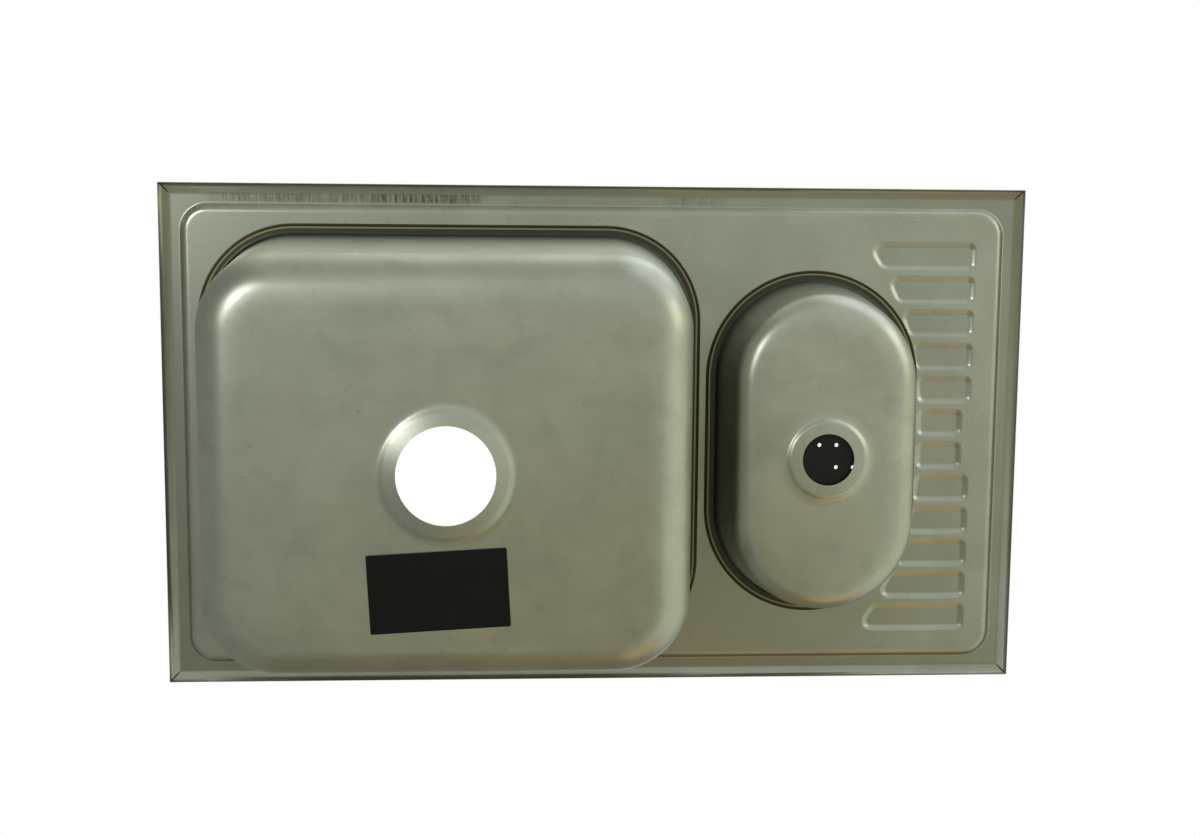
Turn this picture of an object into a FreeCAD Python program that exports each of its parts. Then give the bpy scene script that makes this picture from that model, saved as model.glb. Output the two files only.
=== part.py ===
import FreeCAD, Part
import math
import os

# Inset kitchen sink of pressed stainless sheet: a deck with a drainer, a main
# bowl and a half bowl lapped and welded under it. Millimetres, +Z up as it
# hangs in the worktop, origin at the centre of the rim on the worktop's plane,
# -Y the edge with the wider margin in front of the bowls, drainer at +X.

# Sheet
sheet = 0.8

# Rim and deck
rim_length = 860.0
rim_width = 500.0
rim_rise = 6.0
skirt_run = 10.0
border_width = 9.5
step_drop = 4.5
step_angle = 45.0
step_bend = 2.0
step_corner = 27.0

# Layout of the bowls on the deck's flat
front_margin = 15.0
rear_margin = 3.0
left_margin = 12.0
bowl_gap = 11.0
drainer_length = 81.0

# Bowl flanges under the deck
flange_width = 5.5
flange_bend = 4.5
deck_lap = 4.5
weld_leg = 1.4
weld_fullness = 0.62

# Main bowl
main_corner = 93.0
main_depth = 185.0
main_draft = 5.0
main_bottom_bend = 34.0

# Half bowl, with half-round ends
half_length = 211.0
half_end_margin = 43.0
half_depth = 90.0
half_draft = 6.0
half_bottom_bend = 22.5

# Outlets: a pressed recess that steps down, then a seat around the hole
recess_bend = 3.0
recess_angle = 42.0
drain_shift = 4.0
main_hole = 90.0
main_recess = 126.0
main_recess_drop = 3.0
main_seat_slope = 12.0
half_hole = 50.0
half_recess = 82.0
half_recess_drop = 3.2
half_seat_slope = 2.0

# Drainer ribs, pressed upwards
rib_count = 12
rib_land = 8.8
rib_front_margin = 28.6
rib_rear_margin = 23.6
rib_gap = 7.0
rib_end_margin = 26.0
rib_rise = 2.6
rib_flank = 3.4
rib_corner = 7.0
rib_front_radius = 300.0
rib_front_flat = 20.0
short_ribs = (5, 6)
short_rib_cut = 8.5

# Sound-deadening pad stuck under the main bowl
pad_length = 126.0
pad_width = 72.0
pad_thickness = 2.0
pad_gap = 6.0
pad_shift = -7.0
pad_turn = -3.2
pad_corner = 1.5

# Lift-out strainer over the half bowl's outlet
strainer_clearance = 1.5
strainer_foot = 3.0
strainer_foot_width = 2.5
strainer_thickness = 2.0
strainer_hole = 4.4
strainer_column_pitch = 16.6
strainer_row_pitch = 21.6
strainer_columns = 4
strainer_rows = 2
strainer_row_shift = -3.0
knob_stem = 8.0
knob_head = 15.0
knob_height = 14.0
knob_cap = 5.0

# Welds along the rim's mitred corners
corner_weld_radius = 1.2

# Worked-out sizes
deck_under = rim_rise - step_drop
step_outer_bend = step_bend + sheet
step_turn = math.radians(step_angle)
step_line = (
    step_drop - (step_bend + step_outer_bend) * (1 - math.cos(step_turn))
) / math.sin(step_turn)
step_run = (step_bend + step_outer_bend) * math.sin(step_turn) + step_line * math.cos(step_turn)
step_half_x = rim_length / 2 - skirt_run - border_width
step_half_y = rim_width / 2 - skirt_run - border_width
deck_half_x = step_half_x - step_run
deck_half_y = step_half_y - step_run

main_width = 2 * deck_half_y - front_margin - rear_margin
main_length = 2 * deck_half_x - left_margin - bowl_gap - half_length - drainer_length
main_x = -deck_half_x + left_margin + main_length / 2
bowls_y = (front_margin - rear_margin) / 2
half_width = main_width - 2 * half_end_margin
half_corner = half_length / 2
half_x = main_x + main_length / 2 + bowl_gap + half_length / 2
drain_y = bowls_y + drain_shift
main_floor = deck_under - main_depth
half_floor = deck_under - half_depth
rib_row_middle = (rib_front_margin - rib_rear_margin) / 2

up = FreeCAD.Vector(0, 0, 1)
no_move = FreeCAD.Vector(0, 0, 0)
touching = 1e-6


def point(x, z):
    return FreeCAD.Vector(x, 0, z)


def heading(degrees):
    angle = math.radians(degrees)
    return FreeCAD.Vector(math.cos(angle), 0, math.sin(angle))


def sheet_section(start, moves, first_heading=0.0):
    """Section of a bent sheet, from the path of its lower skin.

    A move is ("line", length) or ("bend", radius of the lower skin, turn in degrees),
    with a left turn positive. The upper skin lies one sheet to the left of the path.
    """
    lower = []
    upper = []
    here = start
    facing = first_heading
    for move in moves:
        left = heading(facing + 90)
        if move[0] == "line":
            there = here + heading(facing) * move[1]
            lower.append(Part.LineSegment(here, there).toShape())
            upper.append(Part.LineSegment(here + left * sheet, there + left * sheet).toShape())
            here = there
            continue
        radius, turn = move[1], move[2]
        side = 1 if turn > 0 else -1
        centre = here + left * (side * radius)
        spokes = [heading(facing + share * turn - side * 90) for share in (0, 0.5, 1)]
        for skin, reach in ((lower, radius), (upper, radius - side * sheet)):
            ends = [centre + spoke * reach for spoke in spokes]
            skin.append(Part.Arc(*ends).toShape())
        facing += turn
        here = centre + spokes[2] * radius
    first_cap = Part.LineSegment(start + heading(first_heading + 90) * sheet, start).toShape()
    last_cap = Part.LineSegment(here, here + heading(facing + 90) * sheet).toShape()
    outline = Part.Wire(lower + [last_cap] + upper[::-1] + [first_cap])
    return Part.Face(outline), here


def turned(face, degrees=360.0):
    return face.revolve(no_move, up, degrees)


def ring_of(section, centre_x, centre_y, half_x, half_y, radius):
    """Carry a section round a rounded rectangle.

    The section's first coordinate is the distance inwards from the outline.
    """
    face = section.copy()
    face = face.mirror(no_move, FreeCAD.Vector(1, 0, 0))
    face.translate(point(radius, 0))
    corner = turned(face, 90)
    pieces = []
    straights = (2 * (half_y - radius), 2 * (half_x - radius))
    signs = ((1, 1), (-1, 1), (-1, -1), (1, -1))
    for index, (sign_x, sign_y) in enumerate(signs):
        place = FreeCAD.Vector(
            centre_x + sign_x * (half_x - radius), centre_y + sign_y * (half_y - radius), 0
        )
        solids = [corner.copy()]
        run = straights[index % 2]
        if run > sheet:
            solids.append(face.extrude(FreeCAD.Vector(0, -run, 0)))
        for solid in solids:
            solid.rotate(no_move, up, 90 * index)
            solid.translate(place)
            pieces.append(solid)
    return pieces


def rounded_outline(points, radius, z):
    """Closed wire through corner points, anticlockwise, with rounded corners."""
    corners = [FreeCAD.Vector(x, y, z) for x, y in points]
    count = len(corners)
    edges = []
    last = None
    first = None
    for index, corner in enumerate(corners):
        back = (corners[index - 1] - corner).normalize()
        ahead = (corners[(index + 1) % count] - corner).normalize()
        half_angle = back.getAngle(ahead) / 2
        trim = radius / math.tan(half_angle)
        middle = (back + ahead).normalize() * (radius / math.sin(half_angle) - radius)
        arc_start = corner + back * trim
        arc_end = corner + ahead * trim
        if last is None:
            first = arc_start
        elif (arc_start - last).Length > touching:
            edges.append(Part.LineSegment(last, arc_start).toShape())
        edges.append(Part.Arc(arc_start, corner + middle, arc_end).toShape())
        last = arc_end
    if (first - last).Length > touching:
        edges.append(Part.LineSegment(last, first).toShape())
    return Part.Wire(edges)


def rectangle_points(centre_x, centre_y, half_x, half_y):
    return [
        (centre_x - half_x, centre_y - half_y),
        (centre_x + half_x, centre_y - half_y),
        (centre_x + half_x, centre_y + half_y),
        (centre_x - half_x, centre_y + half_y),
    ]


def rounded_plate(centre_x, centre_y, half_x, half_y, radius, z, thickness):
    points = rectangle_points(centre_x, centre_y, half_x, half_y)
    face = Part.Face(rounded_outline(points, radius, z))
    return face.extrude(up * thickness)


def sharp_frustum(low_half_x, low_half_y, high_half_x, high_half_y, low_z, high_z):
    wires = []
    for half_x, half_y, z in ((low_half_x, low_half_y, low_z), (high_half_x, high_half_y, high_z)):
        corners = [FreeCAD.Vector(x, y, z) for x, y in rectangle_points(0, 0, half_x, half_y)]
        wires.append(Part.makePolygon(corners + corners[:1]))
    return Part.makeLoft(wires, True, True)


def fused(pieces):
    return pieces[0].fuse(pieces[1:]).removeSplitter()


def save(name, shape):
    shape.exportStep(os.path.join("parts", name + ".step"))
    volumes = [round(solid.Volume, 1) for solid in shape.Solids]
    print(name, "valid" if shape.isValid() else "INVALID", "solids", len(volumes), volumes)


def skirt_void():
    """The space under the border, inside the sloping skirt."""
    skirt_height = rim_rise + sheet
    slope = math.atan2(skirt_height, skirt_run)
    wall = sheet / math.sin(slope)
    top_inset = skirt_run * rim_rise / skirt_height + wall
    return sharp_frustum(
        rim_length / 2 - wall, rim_width / 2 - wall,
        rim_length / 2 - top_inset, rim_width / 2 - top_inset,
        0, rim_rise,
    )


def rib_front_at(y):
    beyond = max(0.0, abs(y - rib_row_middle) - rib_front_flat)
    front = half_x + half_length / 2 + rib_gap
    return front - rib_front_radius + math.sqrt(rib_front_radius ** 2 - beyond ** 2)


def rib_solids():
    """For each rib the raised pressing and the hollow under it."""
    row_low = -deck_half_y + rib_front_margin
    row_high = deck_half_y - rib_rear_margin
    rib_width = (row_high - row_low - (rib_count - 1) * rib_land) / rib_count
    flank_angle = math.atan2(rib_rise, rib_flank)
    spread = sheet * math.tan(flank_angle / 2)
    raised = []
    hollows = []
    for index in range(rib_count):
        low_y = row_low + index * (rib_width + rib_land)
        high_y = low_y + rib_width
        end_x = deck_half_x - rib_end_margin
        if index in short_ribs:
            end_x -= short_rib_cut
        corners = [
            (rib_front_at(low_y), low_y), (end_x, low_y),
            (end_x, high_y), (rib_front_at(high_y), high_y),
        ]
        foot = rounded_outline(corners, rib_corner, 0)
        crown = foot.makeOffset2D(-rib_flank)
        hollow_wires = [foot.copy(), crown.copy()]
        raised_wires = [foot.makeOffset2D(spread), crown.makeOffset2D(spread)]
        levels = ((deck_under, deck_under + rib_rise), (deck_under + sheet, deck_under + rib_rise + sheet))
        for wires, heights, group in zip((hollow_wires, raised_wires), levels, (hollows, raised)):
            for wire, height in zip(wires, heights):
                wire.translate(up * height)
            group.append(Part.makeLoft(wires, True, True))
    return raised, hollows


def step_moves():
    return [
        ("bend", step_bend, -step_angle),
        ("line", step_line),
        ("bend", step_outer_bend, step_angle),
    ]


def deck_panel():
    skirt_height = rim_rise + sheet
    rim = sharp_frustum(
        rim_length / 2, rim_width / 2,
        rim_length / 2 - skirt_run, rim_width / 2 - skirt_run,
        0, skirt_height,
    ).cut(skirt_void())
    well = rounded_plate(0, 0, step_half_x, step_half_y, step_corner, rim_rise, sheet)
    section = sheet_section(point(0, rim_rise), step_moves())[0]
    step = ring_of(section, 0, 0, step_half_x, step_half_y, step_corner)
    flat = rounded_plate(
        0, 0, deck_half_x, deck_half_y, step_corner - step_run, deck_under, sheet
    )
    raised, hollows = rib_solids()
    panel = fused([rim.cut(well), flat] + step + raised)
    cuts = list(hollows)
    openings = (
        (main_x, main_length / 2, main_width / 2, main_corner),
        (half_x, half_length / 2, half_width / 2, half_corner),
    )
    for centre_x, half_size_x, half_size_y, corner in openings:
        cuts.append(rounded_plate(
            centre_x, bowls_y, half_size_x - deck_lap, half_size_y - deck_lap,
            corner - deck_lap, deck_under, sheet,
        ))
    return panel.cut(cuts).removeSplitter()


def wall_moves(depth, draft, bottom_bend):
    """Flange, bend, drafted wall and bottom bend of a bowl, along its outside skin."""
    turn = 90.0 - draft
    tilt = math.radians(draft)
    bends_drop = (flange_bend + bottom_bend) * (1 - math.sin(tilt))
    wall_line = (depth - sheet - bends_drop) / math.cos(tilt)
    return [
        ("line", flange_width),
        ("bend", flange_bend, -turn),
        ("line", wall_line),
        ("bend", bottom_bend, turn),
    ]


def recess_step(recess, drop, seat_slope):
    """Straight length of a recess's step, and the radius where its seat begins."""
    step = math.radians(recess_angle)
    seat = math.radians(seat_slope)
    seat_bend = recess_bend + sheet
    bends_drop = recess_bend * (1 - math.cos(step)) + seat_bend * (math.cos(seat) - math.cos(step))
    bends_run = recess_bend * math.sin(step) + seat_bend * (math.sin(step) - math.sin(seat))
    straight = (drop - bends_drop) / math.sin(step)
    return straight, recess / 2 - bends_run - straight * math.cos(step)


def outlet_ring(centre_x, floor, recess, hole, drop, seat_slope):
    """Pressed recess around an outlet; its seat runs on past the hole's edge."""
    straight, seat_radius = recess_step(recess, drop, seat_slope)
    seat_run = seat_radius - hole / 2 + sheet
    section = sheet_section(point(-recess / 2, floor), [
        ("bend", recess_bend, -recess_angle),
        ("line", straight),
        ("bend", recess_bend + sheet, recess_angle - seat_slope),
        ("line", seat_run / math.cos(math.radians(seat_slope))),
    ])[0]
    ring = turned(section)
    ring.translate(FreeCAD.Vector(centre_x, drain_y, 0))
    return ring


def bowl(centre_x, length, width, corner, depth, draft, bottom_bend, outlet):
    recess, hole, drop, seat_slope = outlet
    section, floor_start = sheet_section(
        point(0, deck_under - sheet), wall_moves(depth, draft, bottom_bend)
    )
    inset = floor_start.x
    floor = deck_under - depth
    pieces = ring_of(section, centre_x, bowls_y, length / 2, width / 2, corner)
    plate = rounded_plate(
        centre_x, bowls_y, length / 2 - inset, width / 2 - inset, corner - inset, floor, sheet
    )
    recess_place = FreeCAD.Vector(centre_x, drain_y, floor)
    plate = plate.cut(Part.makeCylinder(recess / 2, sheet, recess_place))
    pieces.append(plate)
    pieces.append(outlet_ring(centre_x, floor, recess, hole, drop, seat_slope))
    deep = FreeCAD.Vector(centre_x, drain_y, floor - recess)
    return fused(pieces).cut(Part.makeCylinder(hole / 2, 2 * recess, deep))


def seam_weld(centre_x, length, width, corner):
    """Full bead, in flat facets, between a flange's edge and the deck's underside."""
    top = point(0, deck_under)
    toe = point(-weld_leg, deck_under)
    bulge = point(-weld_leg * weld_fullness, deck_under - sheet * weld_fullness)
    foot = point(0, deck_under - sheet)
    outline = Part.makePolygon([top, toe, bulge, foot, top])
    pieces = ring_of(Part.Face(outline), centre_x, bowls_y, length / 2, width / 2, corner)
    return fused(pieces)


def rim_corner_welds():
    """Four beads in the valleys where the skirt's mitred corners meet."""
    void = skirt_void()
    beads = []
    for sign_x in (-1, 1):
        for sign_y in (-1, 1):
            ends = []
            for z in (0, rim_rise):
                corners = [
                    vertex.Point for vertex in void.Vertexes
                    if abs(vertex.Z - z) < touching and vertex.X * sign_x > 0 and vertex.Y * sign_y > 0
                ]
                ends.append(corners[0])
            run = ends[1] - ends[0]
            rod = Part.makeCylinder(corner_weld_radius, run.Length * 2, ends[0] - run * 0.5, run)
            beads.append(rod.common(void))
    return Part.makeCompound([bead.Solids[0] for bead in beads])


def sound_pad():
    pad = rounded_plate(
        0, 0, pad_length / 2, pad_width / 2, pad_corner, main_floor - pad_thickness, pad_thickness
    )
    pad.rotate(no_move, up, pad_turn)
    pad_y = drain_y + main_recess / 2 + pad_gap + pad_width / 2
    pad.translate(FreeCAD.Vector(main_x + pad_shift, pad_y, 0))
    return pad


def strainer():
    """Round plate on a foot ring, with a finger knob and a grid of holes."""
    seat_radius = recess_step(half_recess, half_recess_drop, half_seat_slope)[1]
    edge = seat_radius - strainer_clearance
    base = half_floor + sheet - half_recess_drop
    plate_low = base + strainer_foot
    plate_high = plate_low + strainer_thickness
    knob_top = plate_high + knob_height
    corners = [
        point(0, plate_low), point(edge - strainer_foot_width, plate_low),
        point(edge - strainer_foot_width, base), point(edge, base), point(edge, plate_high),
        point(knob_stem / 2, plate_high), point(knob_stem / 2, knob_top - knob_cap),
        point(knob_head / 2, knob_top - knob_cap), point(knob_head / 2, knob_top),
        point(0, knob_top),
    ]
    body = turned(Part.Face(Part.makePolygon(corners + corners[:1])))
    holes = []
    for column in range(strainer_columns):
        for row in range(strainer_rows):
            x = (column - (strainer_columns - 1) / 2) * strainer_column_pitch
            y = (row - (strainer_rows - 1) / 2) * strainer_row_pitch + strainer_row_shift
            holes.append(Part.makeCylinder(
                strainer_hole / 2, strainer_thickness + knob_height, FreeCAD.Vector(x, y, plate_low)
            ))
    body = body.cut(holes)
    body.translate(FreeCAD.Vector(half_x, drain_y, 0))
    return body


os.makedirs("parts", exist_ok=True)
main_outlet = (main_recess, main_hole, main_recess_drop, main_seat_slope)
half_outlet = (half_recess, half_hole, half_recess_drop, half_seat_slope)
save("deck_panel", deck_panel())
save("main_bowl", bowl(
    main_x, main_length, main_width, main_corner, main_depth, main_draft, main_bottom_bend, main_outlet
))
save("half_bowl", bowl(
    half_x, half_length, half_width, half_corner, half_depth, half_draft, half_bottom_bend, half_outlet
))
save("main_bowl_seam_weld", seam_weld(main_x, main_length, main_width, main_corner))
save("half_bowl_seam_weld", seam_weld(half_x, half_length, half_width, half_corner))
save("rim_corner_welds", rim_corner_welds())
save("sound_pad", sound_pad())
save("strainer", strainer())
print("main bowl", main_length, main_width, "at", main_x, bowls_y)
print("half bowl", half_length, half_width, "at", half_x, bowls_y)
print("deck flat", 2 * deck_half_x, 2 * deck_half_y, "step run", step_run)
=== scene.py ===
import math
import bmesh
import bpy
from mathutils import Matrix, Vector


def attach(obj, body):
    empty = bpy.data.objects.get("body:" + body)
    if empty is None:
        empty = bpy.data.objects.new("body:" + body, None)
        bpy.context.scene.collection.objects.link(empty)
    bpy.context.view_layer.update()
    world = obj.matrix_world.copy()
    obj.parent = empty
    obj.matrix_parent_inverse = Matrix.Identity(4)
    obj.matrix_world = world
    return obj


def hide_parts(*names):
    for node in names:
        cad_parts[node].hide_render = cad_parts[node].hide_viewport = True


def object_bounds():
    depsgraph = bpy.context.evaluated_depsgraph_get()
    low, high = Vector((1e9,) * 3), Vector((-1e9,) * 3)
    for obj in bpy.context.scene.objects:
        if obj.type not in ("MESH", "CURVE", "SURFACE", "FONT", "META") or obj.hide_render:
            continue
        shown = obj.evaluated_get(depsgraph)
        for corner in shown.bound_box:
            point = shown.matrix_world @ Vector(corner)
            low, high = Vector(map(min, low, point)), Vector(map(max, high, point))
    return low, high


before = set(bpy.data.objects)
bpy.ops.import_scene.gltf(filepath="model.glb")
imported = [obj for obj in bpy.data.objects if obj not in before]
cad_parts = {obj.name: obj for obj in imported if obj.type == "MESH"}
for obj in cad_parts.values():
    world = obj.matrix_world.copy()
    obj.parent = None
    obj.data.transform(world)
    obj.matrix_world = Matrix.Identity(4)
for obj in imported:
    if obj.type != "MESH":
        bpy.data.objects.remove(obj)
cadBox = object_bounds()
print("frame loaded:", ", ".join(sorted(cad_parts)))

# lengths are in millimetres until a piece is finished
metre = 1000.0
mergeGap = 0.001
levelGap = 0.05
quarterTurn = math.pi / 2
noiseMean = 0.5
mixShare, mixUnder, mixOver, mixResult = 0, 6, 7, 2  # a colour Mix node's sockets
sheetMetal = {"thickness": 0.8, "bendStep": 6.0, "flatLip": 2.0, "sharpAngle": 34.0}
upward = Vector((0, 0, 1))


def heading(degrees):
    turn = math.radians(degrees)
    return Vector((math.cos(turn), 0, math.sin(turn)))


def only(geometry, kind):
    return [part for part in geometry if isinstance(part, kind)]


# edge chain from ("line", length), ("turn", degrees) and ("bend", radius, degrees), left turns positive
def bentProfile(bm, start, moves, facing=0.0):
    tip = bm.verts.new(start)
    chain = [tip]
    for move in moves:
        if move[0] == "line":
            grown = bmesh.ops.extrude_vert_indiv(bm, verts=[tip])
            tip = grown["verts"][0]
            bmesh.ops.translate(bm, verts=[tip], vec=heading(facing) * move[1])
            chain += [tip] + grown["edges"]
            continue
        if move[0] == "turn":
            facing += move[1]
            continue
        radius, turn = move[1], move[2]
        side = math.copysign(1, turn)
        centre = tip.co + heading(facing + side * 90) * radius
        steps = max(2, round(abs(turn) / sheetMetal["bendStep"]))
        for step in range(steps):
            spun = bmesh.ops.spin(
                bm, geom=[tip], cent=centre, axis=(0, -1, 0), angle=math.radians(turn / steps), steps=1
            )
            tip = only(spun["geom_last"], bmesh.types.BMVert)[0]
            chain += [tip] + tip.link_edges[:]
        facing += turn
    return chain


# sweeps a profile round a rounded rectangle; the profile's x is the distance inwards
def carryRound(bm, profile, outline):
    halfX, halfY = outline["half"]
    centreX, centreY = outline["centre"]
    corner = outline["corner"]
    place = Matrix.Translation((centreX + halfX, centreY - halfY + corner, 0))
    mirrored = Matrix.Scale(-1, 4, (1, 0, 0))
    bmesh.ops.transform(bm, matrix=place @ mirrored, verts=only(profile, bmesh.types.BMVert))
    run = profile
    for side in range(4):
        turn = Matrix.Rotation(side * quarterTurn, 3, "Z")
        across, along = ((halfX, halfY), (halfY, halfX))[side % 2]
        if along - corner > mergeGap:
            shift = turn @ Vector((0, 2 * (along - corner), 0))
            run = bmesh.ops.spin(bm, geom=run, axis=upward, dvec=shift, angle=0, steps=1)["geom_last"]
        middle = Vector((centreX, centreY, 0)) + turn @ Vector((across - corner, along - corner, 0))
        run = bmesh.ops.spin(
            bm, geom=run, cent=middle, axis=upward, angle=quarterTurn, steps=outline["steps"]
        )["geom_last"]
    bmesh.ops.remove_doubles(bm, verts=bm.verts, dist=mergeGap)


def circleOutline(centre, radius, steps):
    return {"centre": centre, "half": (radius, radius), "corner": radius, "steps": steps}


def openEdges(bm, height):
    return [
        edge for edge in bm.edges
        if len(edge.link_faces) < 2 and all(abs(vert.co.z - height) < mergeGap for vert in edge.verts)
    ]


# brings points that are almost at a height exactly to it
def levelOff(bm, height):
    for vert in bm.verts:
        if abs(vert.co.z - height) < levelGap:
            vert.co.z = height


# flat sheet between all the open loops at one height
def fillFlat(bm, height):
    bmesh.ops.triangle_fill(bm, use_beauty=True, edges=openEdges(bm, height), normal=-upward)


# modelled skin faces down and outwards, the sheet's thickness goes the other way
def thickenSheet(bm):
    bmesh.ops.recalc_face_normals(bm, faces=bm.faces)
    widest = max(bm.faces, key=lambda face: face.calc_area())
    if widest.normal.z > 0:
        bmesh.ops.reverse_faces(bm, faces=bm.faces)
    bm.normal_update()
    bmesh.ops.solidify(bm, geom=bm.faces[:], thickness=sheetMetal["thickness"])


def finishPiece(name, bm, material, body, nodes):
    bmesh.ops.scale(bm, vec=Vector((1, 1, 1)) / metre, verts=bm.verts)
    mesh = bpy.data.meshes.new(name)
    bm.to_mesh(mesh)
    bm.free()
    mesh.shade_smooth()
    mesh.set_sharp_from_angle(angle=math.radians(sheetMetal["sharpAngle"]))
    mesh.materials.append(material)
    piece = bpy.data.objects.new(name, mesh)
    bpy.context.scene.collection.objects.link(piece)
    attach(piece, body)
    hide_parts(*nodes)
    print("made", name, "with", len(mesh.polygons), "faces")


# screen colour in hex to linear light, by the sRGB curve
def linearColour(hexCode):
    levels = [int(hexCode[place:place + 2], 16) / 255 for place in (1, 3, 5)]
    return [
        level / 12.92 if level <= 0.04045 else ((level + 0.055) / 1.055) ** 2.4
        for level in levels
    ] + [1.0]


def addNode(tree, kind, settings=None, inputs=None):
    node = tree.nodes.new(kind)
    for name, value in (settings or {}).items():
        setattr(node, name, value)
    for name, value in (inputs or {}).items():
        if isinstance(value, bpy.types.NodeSocket):
            tree.links.new(value, node.inputs[name])
        else:
            node.inputs[name].default_value = value
    return node


def newMaterial(name):
    material = bpy.data.materials.new(name)
    material.use_nodes = True
    material.node_tree.nodes.clear()
    return material, material.node_tree


# how often a pattern repeats in a metre, from its size in millimetres
def patternScale(sizes):
    return [metre / size for size in sizes]


# Cold-rolled stainless sheet, mill finish: a soft grey gloss, cloudy from handling, with a faint
# grain along the rolling direction. The real grain is finer than a pixel, so it is drawn coarser.
# Its underside has a duller film on the border and dried streaks along one long side.
rolledSteel = {
    "pale": "#B0B1A9", "dull": "#A1A29A", "cloud": 95.0, "cloudRange": (0.32, 0.68),
    "cloudDetail": 5.0, "cloudRoughness": 0.6,
    "grain": (55.0, 1.7, 1.7), "grainDetail": 3.0, "grainShare": 0.22, "grainDepth": 0.004,
    "speck": 5.0, "speckDetail": 1.0, "speckRange": (0.71, 0.80), "speckShade": 0.2,
    "roughness": (0.34, 0.28), "wave": 130.0, "waveDetail": 1.0, "waveDepth": 0.5,
    "film": "#7C7F70", "filmShare": 0.40, "filmRise": (2.2, 5.6), "underTilt": -0.97,
    "residue": "#4B4536", "streak": (2.0, 16.0, 16.0), "streakDetail": 2.0, "streakRange": (0.30, 0.72),
    "residueAcross": {"axis": "Y", "middle": -236.4, "half": 6.2, "fade": 3.4, "share": 1.0},
    "residueAlong": [
        {"axis": "X", "middle": -248.0, "half": 140.0, "fade": 24.0, "share": 0.62},
        {"axis": "X", "middle": -168.0, "half": 60.0, "fade": 16.0, "share": 0.38},
        {"axis": "X", "middle": 92.0, "half": 44.0, "fade": 30.0, "share": 0.35},
    ],
}
# Deep-drawn stainless: the same sheet dulled by the press and wiped in smudges, with draw marks down
# its duller walls, a faint grain over the floor, and a dark band under the flange, partly weld heat tint
# and partly painted shade
drawnSteel = {
    "pale": "#BABBB3", "dull": "#AAABA3", "cloud": 70.0, "cloudRange": (0.32, 0.68),
    "cloudDetail": 5.0, "cloudRoughness": 0.6,
    "grain": (48.0, 1.7, 1.7), "grainDetail": 3.0, "grainShare": 0.2, "grainDepth": 0.004,
    "speck": 4.5, "speckDetail": 1.0, "speckRange": (0.72, 0.82), "speckShade": 0.2,
    "roughness": (0.38, 0.32), "wave": 110.0, "waveDetail": 1.0, "waveDepth": 0.45,
    "drawMark": (2.2, 2.2, 90.0), "drawDetail": 2.0, "drawShade": "#90937F", "drawShare": 0.55,
    "wallTilt": (0.75, 0.35), "wallDull": 0.2,
    "smudge": "#5C5F52", "smudgeSize": 44.0, "smudgeDetail": 4.0, "smudgeDrag": 0.8,
    "smudgeRange": (0.50, 0.74), "smudgeShare": 0.15,
    "straw": "#8C866A", "strawFrom": (0.77, 0.84), "scorchAndShade": "#44453E", "scorchAndShadeFrom": (0.17, 0.26),
}
dirtBlack = "#000000"  # specks on both


def sheetSteel(tree, finish, place):
    clouds = addNode(tree, "ShaderNodeTexNoise", inputs={
        "Vector": place, "Scale": metre / finish["cloud"],
        "Detail": finish["cloudDetail"], "Roughness": finish["cloudRoughness"],
    })
    along = addNode(tree, "ShaderNodeMapping", inputs={
        "Vector": place, "Scale": patternScale(finish["grain"]),
    })
    grain = addNode(tree, "ShaderNodeTexNoise", inputs={
        "Vector": along.outputs["Vector"], "Scale": 1.0, "Detail": finish["grainDetail"],
    })
    lines = addNode(tree, "ShaderNodeMath", {"operation": "SUBTRACT"}, {
        0: grain.outputs["Fac"], 1: noiseMean,
    })
    mixed = addNode(tree, "ShaderNodeMath", {"operation": "MULTIPLY_ADD"}, {
        0: lines.outputs[0], 1: finish["grainShare"], 2: clouds.outputs["Fac"],
    })
    tone = addNode(tree, "ShaderNodeMapRange", inputs={
        "Value": mixed.outputs[0], "From Min": finish["cloudRange"][0], "From Max": finish["cloudRange"][1],
    })
    colour = addNode(tree, "ShaderNodeMix", {"data_type": "RGBA"}, {
        mixShare: tone.outputs["Result"],
        mixUnder: linearColour(finish["dull"]), mixOver: linearColour(finish["pale"]),
    })
    spots = addNode(tree, "ShaderNodeTexNoise", inputs={
        "Vector": place, "Scale": metre / finish["speck"], "Detail": finish["speckDetail"],
    })
    speck = addNode(tree, "ShaderNodeMapRange", inputs={
        "Value": spots.outputs["Fac"], "From Min": finish["speckRange"][0],
        "From Max": finish["speckRange"][1], "To Max": finish["speckShade"],
    })
    colour = addNode(tree, "ShaderNodeMix", {"data_type": "RGBA"}, {
        mixShare: speck.outputs["Result"],
        mixUnder: colour.outputs[mixResult], mixOver: linearColour(dirtBlack),
    })
    gloss = addNode(tree, "ShaderNodeMapRange", inputs={
        "Value": tone.outputs["Result"], "To Min": finish["roughness"][0], "To Max": finish["roughness"][1],
    })
    swell = addNode(tree, "ShaderNodeTexNoise", inputs={
        "Vector": place, "Scale": metre / finish["wave"], "Detail": finish["waveDetail"],
    })
    waves = addNode(tree, "ShaderNodeBump", inputs={
        "Height": swell.outputs["Fac"], "Strength": 1.0, "Distance": finish["waveDepth"] / metre,
    })
    relief = addNode(tree, "ShaderNodeBump", inputs={
        "Height": grain.outputs["Fac"], "Strength": 1.0, "Distance": finish["grainDepth"] / metre,
        "Normal": waves.outputs["Normal"],
    })
    return colour.outputs[mixResult], gloss.outputs["Result"], relief.outputs["Normal"]


def metalOutput(tree, colour, gloss, relief):
    skin = addNode(tree, "ShaderNodeBsdfPrincipled", inputs={
        "Base Color": colour, "Metallic": 1.0, "Roughness": gloss, "Normal": relief,
    })
    addNode(tree, "ShaderNodeOutputMaterial", inputs={"Surface": skin.outputs["BSDF"]})


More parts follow.
